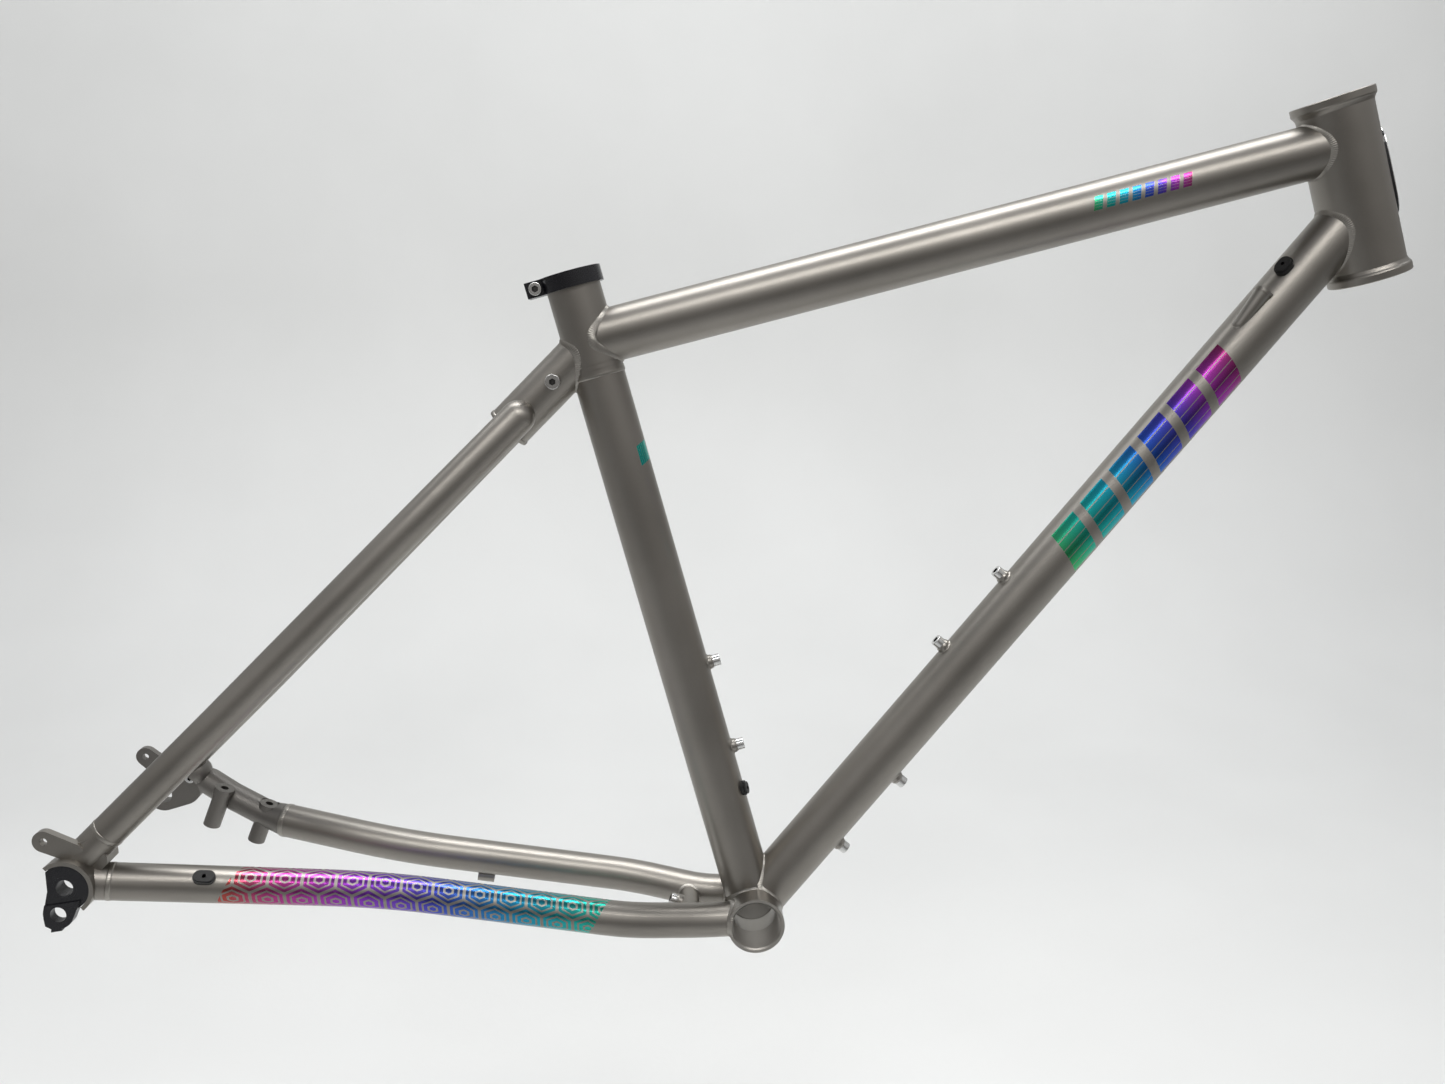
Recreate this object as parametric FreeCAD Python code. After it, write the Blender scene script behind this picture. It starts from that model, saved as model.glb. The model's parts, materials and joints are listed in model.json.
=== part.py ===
import FreeCAD
import Part
import math
import os

os.makedirs("parts", exist_ok=True)

# Bare bicycle frame with a wishbone rear end, all in millimetres.
# Origin: centre of the bottom bracket shell. +X forward, +Z up, +Y to the rider's left.

# ---- driving dimensions ----
seat_angle = 74.68
head_angle = 72.14
top_tube_angle = 14.352
top_tube_height = 433.63
down_tube_angle = 50.49
head_x_at_500 = 402.30
head_tube_bottom_z = 446.6
head_tube_length = 122.7
head_tube_r = 23.95
head_rim_r = 26.2
head_bore_r = 22.0
head_rim_height = 5.0
top_tube_r = 18.0
down_tube_r = 17.8
seat_bore_r = 15.8
sleeve_wall = 2.23
seat_sleeve_r = seat_bore_r + sleeve_wall
seat_tube_r = seat_sleeve_r - 0.5
sleeve_start = 397.0
sleeve_end = 464.4
main_wall = 1.0
shell_r = 20.0
shell_bore_r = 17.0
shell_width = 68.0
wishbone_r = 15.1
wishbone_wall = 1.2
stay_wall = 0.9
seat_stay_r = 11.1
chain_stay_r = 12.0
axle_x = -443.6
axle_z = 64.1
dropout_half_gap = 71.0
eyelet_centre = (-455.7, 93.8)
eyelet_r = 7.0
left_disc_centre = (-429.3, 69.8)
left_disc_r = 14.0
arm_r = 9.9
axle_bore_r = 6.05
axle_thread_r = 5.5
hanger_flat = 10.8
hanger_disc_r = 15.4
hood_wall = 3.0
hanger_bolt_r = 7.5
bolt_flange_r = 9.6
hanger_bore = 5.0
brake_hole_r = 2.75
brake_rim_r = 7.0
boss_spacing = 64.0
boss_r = 5.0
bridge_r = 7.5
bolt_hole_r = 2.5
bolt_shank_r = 2.45
bolt_head_r = 4.25
collar_wall = 2.77
port_lift = 57.0
stop_lift = 54.0
stop_mouth = 555.0
stop_length = 27.0
stop_mouth_r = 6.4
collar_r = seat_sleeve_r + collar_wall
badge_height = 65.5
badge_half_length = 29.5
collar_height = 10.4
joint_gap = 0.05

X_AXIS = FreeCAD.Vector(1, 0, 0)
Y_AXIS = FreeCAD.Vector(0, 1, 0)
Z_AXIS = FreeCAD.Vector(0, 0, 1)


def vec(x, y, z):
    return FreeCAD.Vector(x, y, z)


def tilt(angle):
    """Unit vector in the XZ plane at this many degrees above +X."""
    a = math.radians(angle)
    return vec(math.cos(a), 0, math.sin(a))


def cylinder(start, end, radius):
    way = end - start
    return Part.makeCylinder(radius, way.Length, start, way)


def ring(start, end, outer, inner):
    way = (end - start).normalize()
    return cylinder(start, end, outer).cut(cylinder(start - way, end + way, inner))


def cone(start, end, r_start, r_end):
    way = end - start
    return Part.makeCone(r_start, r_end, way.Length, start, way)


def join(shapes):
    """One solid from overlapping shapes."""
    out = shapes[0]
    for shape in shapes[1:]:
        out = out.fuse(shape)
    return out


def keep_piece(shape, point):
    """The one solid of a cut shape that lies nearest to a point."""
    probe = Part.Vertex(point)
    return min(shape.Solids, key=lambda s: s.distToShape(probe)[0])


def mirrored(shape):
    """The same piece on the other side of the frame."""
    return shape.mirror(vec(0, 0, 0), Y_AXIS)


def rounded_path(corners, radii):
    """Straight runs through the corners, joined by tangent arcs of these radii."""
    edges = []
    start = corners[0]
    for k, radius in enumerate(radii, 1):
        back = (corners[k - 1] - corners[k]).normalize()
        ahead = (corners[k + 1] - corners[k]).normalize()
        half = (math.pi - back.getAngle(ahead)) / 2.0
        first = corners[k] + back * (radius * math.tan(half))
        last = corners[k] + ahead * (radius * math.tan(half))
        middle = corners[k] + (back + ahead).normalize() * (radius / math.cos(half) - radius)
        edges.append(Part.makeLine(start, first))
        edges.append(Part.Arc(first, middle, last).toShape())
        start = last
    edges.append(Part.makeLine(start, corners[-1]))
    return Part.Wire(edges)


def bar_along(path, radius):
    """A round bar that follows a path of lines and arcs."""
    edge = path.Edges[0]
    start = edge.valueAt(edge.FirstParameter)
    circle = Part.Wire(Part.makeCircle(radius, start, edge.tangentAt(edge.FirstParameter)))
    return path.makePipeShell([circle], True, True)


def run_point(a, b, x):
    """The point of a straight run from a to b that lies at this x, and the way along it."""
    way = (b - a).normalize()
    return a + way * ((x - a.x) / way.x), way


def loft_along(stations):
    """A round bar through (centre, direction, radius) stations."""
    wires = [Part.Wire(Part.makeCircle(r, c, d)) for c, d, r in stations]
    return Part.makeLoft(wires, True, False)


def side_plate(points, y_low, y_high):
    """A flat plate drawn in the XZ plane and given its thickness along Y."""
    corners = [vec(x, y_low, z) for x, z in points]
    face = Part.Face(Part.makePolygon(corners + [corners[0]]))
    return face.extrude(vec(0, y_high - y_low, 0))


def link_plate(a, ra, b, rb, y_low, y_high):
    """A plate around two circles joined by their outer tangents."""
    ax, az = a
    bx, bz = b
    d = math.hypot(bx - ax, bz - az)
    base = math.atan2(bz - az, bx - ax)
    spread = math.acos((ra - rb) / d)
    quad = []
    for x, z, r, s in ((ax, az, ra, 1), (bx, bz, rb, 1), (bx, bz, rb, -1), (ax, az, ra, -1)):
        quad.append((x + r * math.cos(base + s * spread), z + r * math.sin(base + s * spread)))
    depth = y_high - y_low
    discs = [Part.makeCylinder(ra, depth, vec(ax, y_low, az), Y_AXIS)]
    discs.append(Part.makeCylinder(rb, depth, vec(bx, y_low, bz), Y_AXIS))
    return join([side_plate(quad, y_low, y_high)] + discs)


def socket_bolt(seat, way, head_r, head_h, shank_r, shank_length, hex_size):
    """A socket head bolt whose head rests on seat and points along way."""
    head = cylinder(seat, seat + way * head_h, head_r)
    rim = [e for e in head.Edges if abs(e.CenterOfMass.sub(seat + way * head_h).Length) < 0.5]
    head = head.makeFillet(0.5, rim[:1])
    shank = cylinder(seat - way * shank_length, seat + way * 0.5, shank_r)
    flat = hex_size / math.sqrt(3.0)
    side = way.cross(Y_AXIS)
    if side.Length < 0.1:
        side = way.cross(X_AXIS)
    side = side.normalize()
    other = way.cross(side)
    top = seat + way * (head_h + 1.0)
    corners = []
    for k in range(6):
        a = math.radians(60 * k)
        corners.append(top + side * (flat * math.cos(a)) + other * (flat * math.sin(a)))
    socket = Part.Face(Part.makePolygon(corners + [corners[0]])).extrude(way * -(head_h * 0.6 + 1.0))
    return join([head, shank]).cut(socket)


def boss_at(point, way, wall):
    """A threaded boss set through a tube wall; returns boss and the hole it needs."""
    foot = point - way * (wall + 1.6)
    crown = point + way * 2.0
    tip = point + way * 3.4
    body = join([cylinder(foot, crown, boss_r), cone(crown, tip, boss_r, boss_r - 0.8)])
    body = body.cut(cylinder(foot - way, tip + way, bolt_hole_r))
    hole = cylinder(point - way * (wall + 4), point + way * 8, boss_r)
    return body, hole, tip


def oval_grommet(centre, normal, along, width, length, height, wall):
    """An oval rubber plug with a low dome, one cable hole and a neck through the wall."""
    across = normal.cross(along).normalize()
    half = (length - width) / 2.0

    def oval(r, low, high):
        a = centre + along * half
        b = centre - along * half
        ends = [cylinder(c + normal * low, c + normal * high, r) for c in (a, b)]
        corners = [a + across * r, b + across * r, b - across * r, a - across * r]
        corners = [c + normal * low for c in corners]
        slab = Part.Face(Part.makePolygon(corners + [corners[0]])).extrude(normal * (high - low))
        return join(ends + [slab])

    neck_r = width / 2.0 - 1.4
    lip = oval(width / 2.0, -0.6, height * 0.55)
    crown = oval(width / 2.0 - 0.9, 0.0, height)
    neck = oval(neck_r, -(wall + 2.0), 0.5)
    plug = join([lip, crown, neck])
    cable = cylinder(centre - normal * (wall + 6), centre + normal * (height + 2), 1.3)
    return plug.cut(cable), oval(neck_r, -(wall + 6.0), 4.0)


nodes = {}
BB = vec(0, 0, 0)
seat_way = tilt(180.0 - seat_angle)
seat_front = vec(math.sin(math.radians(seat_angle)), 0, math.cos(math.radians(seat_angle)))
head_way = tilt(180.0 - head_angle)
down_way = tilt(down_tube_angle)
top_way = tilt(top_tube_angle)
head_slope = 1.0 / math.tan(math.radians(180.0 - head_angle))
head_foot = vec(head_x_at_500 + head_slope * (head_tube_bottom_z - 500.0), 0, head_tube_bottom_z)
head_crown = head_foot + head_way * head_tube_length


# ---- head tube: flared rims at both ends, straight bore for the headset cups ----
def head_profile():
    """Half section of the head tube, (radius, height)."""
    top = head_tube_length
    low = head_rim_height
    lower_end = [
        (head_rim_r - 0.5, 0),
        (head_rim_r, 0.5),
        (head_rim_r, low - 0.4),
        (head_rim_r - 0.35, low + 0.5),
        (head_rim_r - 1.1, low + 1.4),
        (head_tube_r + 0.55, low + 2.5),
        (head_tube_r + 0.15, low + 3.5),
        (head_tube_r, low + 4.5),
    ]
    upper_end = [(r, top - h) for r, h in reversed(lower_end)]
    return [(head_bore_r, 0)] + lower_end + upper_end + [(head_bore_r, top)]


def revolve_on(profile, foot, way):
    """Turn a (radius, height) outline about an axis in the XZ plane."""
    side = way.cross(Y_AXIS).normalize()
    points = [foot + side * r + way * h for r, h in profile]
    face = Part.Face(Part.makePolygon(points + [points[0]]))
    return face.revolve(foot, way, 360)


head_tube = revolve_on(head_profile(), head_foot, head_way)
head_solid = head_tube.fuse(cylinder(head_foot, head_crown, head_bore_r + 0.5))
nodes["head_tube"] = head_tube

# ---- bottom bracket shell ----
half_shell = shell_width / 2.0
shell_outer = cylinder(vec(0, -half_shell, 0), vec(0, half_shell, 0), shell_r)
shell = shell_outer.cut(cylinder(vec(0, -half_shell - 1, 0), vec(0, half_shell + 1, 0), shell_bore_r))
for side in (-1, 1):
    mouth = vec(0, side * half_shell, 0)
    inner = vec(0, side * (half_shell - 1.0), 0)
    shell = shell.cut(cone(inner, mouth, shell_bore_r, shell_bore_r + 1.0))
nodes["bottom_bracket_shell"] = shell

# ---- seat tube, with its heavier upper sleeve, slotted for the clamp ----
seat_full = cylinder(BB, seat_way * 470.0, seat_tube_r)
seat_tube = ring(BB, seat_way * sleeve_start, seat_tube_r, seat_tube_r - main_wall)
seat_tube = seat_tube.cut(shell_outer)
seat_tube = keep_piece(seat_tube, seat_way * 200.0)
sleeve_foot = seat_way * sleeve_start
sleeve_top = seat_way * sleeve_end
sleeve = ring(sleeve_foot, sleeve_top, seat_sleeve_r, seat_bore_r)
for low in (3.0, 6.5):
    groove_foot = sleeve_foot + seat_way * low
    groove = ring(groove_foot, groove_foot + seat_way * 0.9, 25.0, seat_sleeve_r - 0.5)
    sleeve = sleeve.cut(groove)
slot_depth = 30.0
slot_foot = sleeve_top - seat_way * slot_depth
slot = Part.makeBox(40, 2.0, 60, vec(-40, -1.0, 0))
slot.Placement = FreeCAD.Placement(slot_foot, FreeCAD.Rotation(Y_AXIS, seat_angle - 90.0))
sleeve = sleeve.cut(slot)
sleeve = sleeve.cut(cylinder(slot_foot, slot_foot - seat_front * 30.0, 2.4))
nodes["seat_tube_sleeve"] = sleeve
sleeve_solid = cylinder(seat_way * (sleeve_start - 4.0), sleeve_top, seat_sleeve_r)

# ---- top tube, mitred to the seat tube sleeve and the head tube ----
top_foot = vec(-140.0, 0, top_tube_height + math.tan(math.radians(top_tube_angle)) * -140.0)
top_tube = ring(top_foot, top_foot + top_way * 600.0, top_tube_r, top_tube_r - main_wall)
top_tube = top_tube.cut(seat_full).cut(sleeve_solid).cut(head_solid)
nodes["top_tube"] = keep_piece(top_tube, top_foot + top_way * 280.0)

# ---- down tube, mitred to the shell, the seat tube and the head tube ----
down_tube = ring(BB, down_way * 680.0, down_tube_r, down_tube_r - main_wall)
down_tube = down_tube.cut(shell_outer).cut(seat_full).cut(head_solid)
down_tube = keep_piece(down_tube, down_way * 330.0)

# ---- wishbone tube behind the seat tube, closed by a flat cap ----
wishbone_way = tilt(45.0)
wishbone_end = vec(-165.8, 0, 347.1)
wishbone_top = wishbone_end + wishbone_way * 90.0
wishbone = ring(wishbone_end + wishbone_way * 1.5, wishbone_top, wishbone_r, wishbone_r - wishbone_wall)
wishbone = wishbone.cut(seat_full).cut(sleeve_solid)
wishbone = keep_piece(wishbone, wishbone_end + wishbone_way * 20.0)
wishbone_solid = cylinder(wishbone_end, wishbone_top, wishbone_r)
nodes["wishbone_cap"] = cylinder(wishbone_end, wishbone_end + wishbone_way * 1.5, wishbone_r)

# ---- axle, dropouts and the derailleur hanger on the right ----
hub_zone = cylinder(vec(axle_x, -dropout_half_gap, axle_z), vec(axle_x, dropout_half_gap, axle_z), 21.5)

chain_corners = [
    vec(-434.0, -70.7, 63.5),
    vec(-257.0, -34.5, 34.9),
    vec(-88.0, -35.0, 7.6),
    vec(-36.0, -22.6, 0.0),
    vec(0.0, -20.3, 0.0),
]
seat_corners = [
    vec(-157.0, -18.6, 355.9),
    vec(-222.0, -39.3, 291.1),
    vec(-352.0, -60.6, 161.8),
    vec(-432.0, -67.8, 84.0),
]
chain_path = rounded_path(chain_corners, [380.0, 150.0, 110.0])
seat_path = rounded_path(seat_corners, [380.0, 500.0])
chain_outer = bar_along(chain_path, chain_stay_r)
chain_inner = bar_along(chain_path, chain_stay_r - stay_wall)
seat_outer = bar_along(seat_path, seat_stay_r)
seat_inner = bar_along(seat_path, seat_stay_r - stay_wall)


def beyond(point, way, size=60.0):
    """A block that removes everything past a point in one direction."""
    block = Part.makeBox(size, size, size, vec(-size / 2, -size / 2, 0))
    block.Placement = FreeCAD.Placement(point, FreeCAD.Rotation(Z_AXIS, way))
    return block


right_chain_joint, right_chain_way = run_point(chain_corners[0], chain_corners[1], -421.0)
left_chain_joint, left_chain_way = run_point(chain_corners[0], chain_corners[1], -346.5)
seat_joint, seat_joint_way = run_point(seat_corners[2], seat_corners[3], -421.0)


eyelet_foot = vec(eyelet_centre[0], -90.0, eyelet_centre[1])
eyelet_hole = cylinder(eyelet_foot, eyelet_foot + Y_AXIS * 30.0, bolt_hole_r)


def make_right_dropout():
    """Plate, hood around the hanger, two stay stubs and the rack eyelet."""
    out = -84.0
    centre = (axle_x, axle_z)
    outer_face = vec(axle_x, out, axle_z)
    inner_face = vec(axle_x, -dropout_half_gap, axle_z)
    drum = cylinder(outer_face, inner_face, hanger_disc_r + hood_wall)
    drum = drum.cut(Part.makeBox(20, 30, 60, vec(axle_x - hanger_flat - 21.0, out - 1.0, axle_z - 30.0)))
    chain_stub = cylinder(right_chain_joint, right_chain_joint - right_chain_way * 13.0, chain_stay_r)
    seat_stub = cylinder(seat_joint, seat_joint + seat_joint_way * 25.0, seat_stay_r)
    web = side_plate(
        [
            (axle_x + 4.0, axle_z + 8.0),
            (axle_x + 20.0, axle_z + 8.0),
            (axle_x + 24.5, axle_z + 12.5),
            (axle_x + 24.5, axle_z + 17.0),
            (axle_x + 18.0, axle_z + 26.0),
            (axle_x + 8.0, axle_z + 24.0),
        ],
        -75.0,
        -59.0,
    )
    eyelet = link_plate(eyelet_centre, eyelet_r, (axle_x + 6.0, axle_z + 21.5), 6.4, -78.6, -73.4)
    brace = side_plate(
        [
            (axle_x - 5.0, axle_z + 17.0),
            (axle_x + 8.0, axle_z + 16.0),
            (axle_x + 14.0, axle_z + 30.0),
            (axle_x + 4.0, axle_z + 26.0),
        ],
        -77.0,
        -73.4,
    )
    body = join([drum, chain_stub, seat_stub, web, eyelet, brace])
    body = body.cut(hub_zone)
    recess = Part.makeCylinder(hanger_disc_r + 0.3, 12.0, vec(axle_x, out - 5.0, axle_z), Y_AXIS)
    body = body.cut(recess)
    open_side = side_plate(
        [
            (axle_x, axle_z),
            (axle_x - 26.0 * math.cos(math.radians(52)), axle_z + 26.0 * math.sin(math.radians(52))),
            (axle_x - 40.0, axle_z),
            (axle_x - 30.0, axle_z - 40.0),
            (axle_x + 26.0 * math.cos(math.radians(53)), axle_z - 26.0 * math.sin(math.radians(53))),
        ],
        out - 1.0,
        -77.0,
    )
    keep = Part.makeCylinder(24.0, 20.0, vec(axle_x, out - 2.0, axle_z), Y_AXIS)
    body = body.cut(open_side.common(keep))
    edge_zone = Part.makeCylinder(24.0, 20.0, vec(axle_x, out - 2.0, axle_z), Y_AXIS)
    edge_zone = edge_zone.cut(Part.makeCylinder(hanger_disc_r, 20.0, vec(axle_x, out - 2.0, axle_z), Y_AXIS))
    lower_side = side_plate(
        [
            (axle_x - 6.0, axle_z),
            (axle_x - 40.0, axle_z),
            (axle_x - 30.0, axle_z - 40.0),
            (axle_x + 14.0, axle_z - 19.0),
            (axle_x + 6.0, axle_z - 10.0),
        ],
        out - 1.0,
        -dropout_half_gap + 1.0,
    )
    body = body.cut(lower_side.common(edge_zone))
    body = body.cut(Part.makeCylinder(hanger_bolt_r, 30.0, vec(axle_x, -95.0, axle_z), Y_AXIS))
    body = body.cut(Part.makeCylinder(bolt_flange_r + 0.2, 1.6, vec(axle_x, -72.6, axle_z), Y_AXIS))
    body = body.cut(eyelet_hole)
    body = body.cut(cylinder(right_chain_joint, right_chain_joint + right_chain_way * 40.0, chain_stay_r))
    body = body.cut(cylinder(seat_joint, seat_joint - seat_joint_way * 40.0, seat_stay_r))
    return keep_piece(body, vec(axle_x, -76.0, axle_z + 12.0))


right_dropout = make_right_dropout()
nodes["right_dropout"] = right_dropout


def make_hanger():
    """Black hanger plate: disc on the axle, lobe below with the mech bolt hole and stop tab."""
    low = -82.4
    high = -77.1
    disc = Part.makeCylinder(hanger_disc_r, high - low, vec(axle_x, low, axle_z), Y_AXIS)
    flat = Part.makeBox(20, 20, 60, vec(axle_x - hanger_flat - 20.0, low - 5, axle_z - 30))
    disc = disc.cut(flat)
    lobe_at = (axle_x - 5.0, axle_z - 17.4)
    arm = link_plate((axle_x - 1.0, axle_z - 6.0), 10.5, lobe_at, 9.4, low - 1.0, high)
    tab = side_plate(
        [
            (axle_x - 14.4, axle_z - 19.6),
            (axle_x - 5.0, axle_z - 20.0),
            (axle_x - 3.6, axle_z - 28.4),
            (axle_x - 10.6, axle_z - 29.4),
            (axle_x - 10.2, axle_z - 27.2),
            (axle_x - 13.8, axle_z - 25.2),
        ],
        low - 1.0,
        high - 1.0,
    )
    body = join([disc, arm, tab])
    shelf = side_plate(
        [
            (axle_x - 30.0, axle_z - 11.0),
            (axle_x - 9.5, axle_z - 11.0),
            (axle_x + 12.0, axle_z - 8.0),
            (axle_x + 30.0, axle_z + 20.0),
            (axle_x - 30.0, axle_z + 20.0),
        ],
        low - 3.0,
        low,
    )
    body = body.cut(shelf)
    body = body.cut(Part.makeCylinder(hanger_bolt_r, 30.0, vec(axle_x, -95.0, axle_z), Y_AXIS))
    body = body.cut(Part.makeCylinder(hanger_bore, 30.0, vec(lobe_at[0], -95.0, lobe_at[1]), Y_AXIS))
    return body


nodes["derailleur_hanger"] = make_hanger()
hanger_bolt = Part.makeCylinder(hanger_bolt_r - joint_gap, 11.4, vec(axle_x, -82.4, axle_z), Y_AXIS)
flange = Part.makeCylinder(bolt_flange_r, 1.4, vec(axle_x, -72.5, axle_z), Y_AXIS)
hanger_bolt = join([hanger_bolt, flange])
hanger_bolt = hanger_bolt.cut(Part.makeCylinder(axle_thread_r, 30.0, vec(axle_x, -95.0, axle_z), Y_AXIS))
nodes["hanger_bolt"] = hanger_bolt

# ---- left dropout: axle plate, eyelet, necked arm and two brake bosses ----
brake_way = vec(0.378, 0, 0.926).normalize()
brake_tops = [vec(-391.6, 55.0, 75.2), vec(-359.7, 55.0, 62.2)]
brake_depth = 31.0


def make_left_dropout():
    inner = dropout_half_gap
    plate = link_plate((axle_x, axle_z), 12.5, left_disc_centre, left_disc_r, inner, inner + 7.0)
    boss = Part.makeCylinder(11.0, 11.0, vec(axle_x, inner, axle_z), Y_AXIS)
    seat_stub = mirrored(cylinder(seat_joint, seat_joint + seat_joint_way * 15.0, seat_stay_r))
    eyelet = link_plate(eyelet_centre, eyelet_r, (axle_x + 8.0, axle_z + 12.0), 8.0, 73.4, 78.6)
    chain_way = vec(left_chain_way.x, -left_chain_way.y, left_chain_way.z)
    weld_end = vec(left_chain_joint.x, -left_chain_joint.y, left_chain_joint.z)
    arm_corners = [
        vec(-431.0, 75.4, 74.0),
        vec(-411.0, 73.6, 74.6),
        vec(-390.6, 65.3, 65.2),
        vec(-361.0, 57.0, 52.4),
    ]
    arm = bar_along(rounded_path(arm_corners, [14.0, 40.0]), arm_r)
    arm_way = (arm_corners[3] - arm_corners[2]).normalize()
    flare_start = arm_corners[3] - arm_way * 2.0
    flare = loft_along([(flare_start, arm_way, arm_r), (weld_end, chain_way, chain_stay_r)])
    knuckle = Part.makeSphere(10.6, vec(-417.0, 71.0, 83.0))
    parts = [plate, arm, flare, boss, seat_stub, eyelet, knuckle]
    for top in brake_tops:
        foot = top - brake_way * brake_depth
        parts.append(cylinder(foot, top, 6.2))
        parts.append(cylinder(top - brake_way * 4.0, top, brake_rim_r))
    body = join(parts)
    body = body.cut(hub_zone)
    disc_foot = vec(left_disc_centre[0], inner - 24.0, left_disc_centre[1])
    body = body.cut(Part.makeCylinder(left_disc_r + 0.6, 24.0, disc_foot, Y_AXIS))
    stay_foot = vec(seat_joint.x, -seat_joint.y, seat_joint.z)
    stay_way = vec(-seat_joint_way.x, seat_joint_way.y, -seat_joint_way.z)
    body = body.cut(cylinder(stay_foot, stay_foot + stay_way * 40.0, seat_stay_r))
    body = body.cut(Part.makeCylinder(axle_bore_r, 40.0, vec(axle_x, 60.0, axle_z), Y_AXIS))
    body = body.cut(mirrored(eyelet_hole))
    for top in brake_tops:
        foot = top - brake_way * brake_depth
        body = body.cut(cylinder(foot - brake_way * 3.0, top + brake_way * 20.0, brake_hole_r))
        body = body.cut(cylinder(top, top + brake_way * 20.0, brake_rim_r))
    return keep_piece(body, vec(axle_x, 75.0, axle_z + 10.0))


left_dropout = make_left_dropout()
screw_at = vec(-422.5, dropout_half_gap, 77.6)
left_dropout = left_dropout.cut(cylinder(screw_at, screw_at + Y_AXIS * 9.0, 2.0))
nodes["left_dropout"] = left_dropout
nodes["dropout_screw"] = socket_bolt(screw_at, Y_AXIS * -1.0, 3.6, 2.6, 1.95, 6.0, 3.0)

# ---- chainstays and seatstays ----
right_chainstay = chain_outer.cut(chain_inner).cut(shell_outer).cut(seat_full)
right_chainstay = right_chainstay.cut(cylinder(BB, down_way * 60.0, down_tube_r))
right_chainstay = right_chainstay.cut(beyond(right_chain_joint, right_chain_way * -1.0, 60.0))
right_chainstay = keep_piece(right_chainstay, vec(-222.0, -34.6, 29.2))
left_chainstay = mirrored(chain_outer.cut(chain_inner).cut(shell_outer).cut(seat_full))
left_chainstay = left_chainstay.cut(cylinder(BB, down_way * 60.0, down_tube_r))
left_end = vec(left_chain_joint.x, -left_chain_joint.y, left_chain_joint.z)
left_way = vec(left_chain_way.x, -left_chain_way.y, left_chain_way.z)
left_chainstay = left_chainstay.cut(beyond(left_end, left_way * -1.0, 150.0))
left_chainstay = keep_piece(left_chainstay, vec(-222.0, 34.6, 29.2))

dome = Part.makeSphere(seat_stay_r, seat_corners[0])
stay_inner = seat_inner.cut(Part.makeSphere(seat_stay_r + 2.0, seat_corners[0]))
right_seatstay = join([seat_outer, dome]).cut(stay_inner).cut(wishbone_solid)
right_seatstay = right_seatstay.cut(beyond(seat_joint, seat_joint_way, 60.0))
right_seatstay = keep_piece(right_seatstay, vec(-309.1, -54.0, 204.3))
nodes["right_seatstay"] = right_seatstay
nodes["left_seatstay"] = mirrored(right_seatstay)

# ---- bridge between the chainstays, with a mudguard boss facing the wheel ----
bridge_at = vec(-46.2, 0, 0.5)
bridge = ring(bridge_at - Y_AXIS * 34.0, bridge_at + Y_AXIS * 34.0, bridge_r, bridge_r - 1.0)
bridge = bridge.cut(chain_outer).cut(mirrored(chain_outer)).cut(shell_outer).cut(seat_full)
bridge = keep_piece(bridge, bridge_at)
bridge_way = vec(-0.93, 0, 0.37).normalize()
bridge_boss, bridge_hole, bridge_tip = boss_at(bridge_at + bridge_way * bridge_r, bridge_way, 1.0)
nodes["chainstay_bridge"] = bridge.cut(bridge_hole)
nodes["bridge_boss"] = bridge_boss
bridge_bolt = socket_bolt(bridge_tip, bridge_way, bolt_head_r, 4.0, bolt_shank_r, 6.0, 4.0)
nodes["bridge_bolt"] = bridge_bolt


# ---- threaded bosses and their bolts ----
def boss_pair(axis_way, normal, radius, first):
    """Two bosses one bottle-cage spacing apart on a tube that starts at the shell centre."""
    bosses = []
    holes = []
    bolts = []
    for s in (first, first + boss_spacing):
        point = axis_way * s + normal * radius
        boss, hole, tip = boss_at(point, normal, main_wall)
        bosses.append(boss)
        holes.append(hole)
        bolts.append(socket_bolt(tip, normal, bolt_head_r, 5.0, bolt_shank_r, 9.0, 4.0))
    return bosses, holes, bolts


down_up = vec(-down_way.z, 0, down_way.x)
sets = {
    "down_tube_bosses": boss_pair(down_way, down_up, down_tube_r, 233.7),
    "under_tube_bosses": boss_pair(down_way, down_up * -1.0, down_tube_r, 75.1),
    "seat_tube_bosses": boss_pair(seat_way, seat_front, seat_tube_r, 120.7),
}
for name, (bosses, holes, bolts) in sets.items():
    nodes[name] = Part.makeCompound(bosses)
    nodes[name.replace("bosses", "bolts")] = Part.makeCompound(bolts)
    for hole in holes:
        if name == "seat_tube_bosses":
            seat_tube = seat_tube.cut(hole.common(beyond(seat_way * 5.0, seat_front, 900.0)))
        else:
            down_tube = down_tube.cut(hole)

rack_at = vec(-133.9, 0, 378.9)
rack_bosses = []
rack_bolts = []
for side in (-1, 1):
    way = vec(0, side, 0)
    boss, hole, tip = boss_at(rack_at + way * wishbone_r, way, wishbone_wall)
    rack_bosses.append(boss)
    wishbone = wishbone.cut(hole)
    rack_bolts.append(socket_bolt(tip, way, 4.9, 4.2, bolt_shank_r, 8.0, 4.0))
nodes["rack_bosses"] = Part.makeCompound(rack_bosses)
nodes["rack_bolts"] = Part.makeCompound(rack_bolts)
nodes["wishbone_tube"] = wishbone

# ---- cable ports: rubber plugs and the hooded stop on the down tube ----


def down_tube_normal(lift):
    """Outward normal of the down tube at an angle above its right side."""
    a = math.radians(lift)
    return vec(down_up.x * math.sin(a), -math.cos(a), down_up.z * math.sin(a))


port_normal = down_tube_normal(port_lift)
port_at = down_way * 575.0 + port_normal * down_tube_r
plug, plug_hole = oval_grommet(port_at, port_normal, down_way, 9.8, 13.4, 5.0, main_wall)
plug_hole = plug_hole.common(cylinder(down_way * 500.0, down_way * 650.0, 40.0))
down_solid = cylinder(down_way * 480.0, down_way * 610.0, down_tube_r)
nodes["down_tube_grommet"] = plug.cut(down_solid.cut(plug_hole))
down_tube = down_tube.cut(plug_hole)

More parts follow.
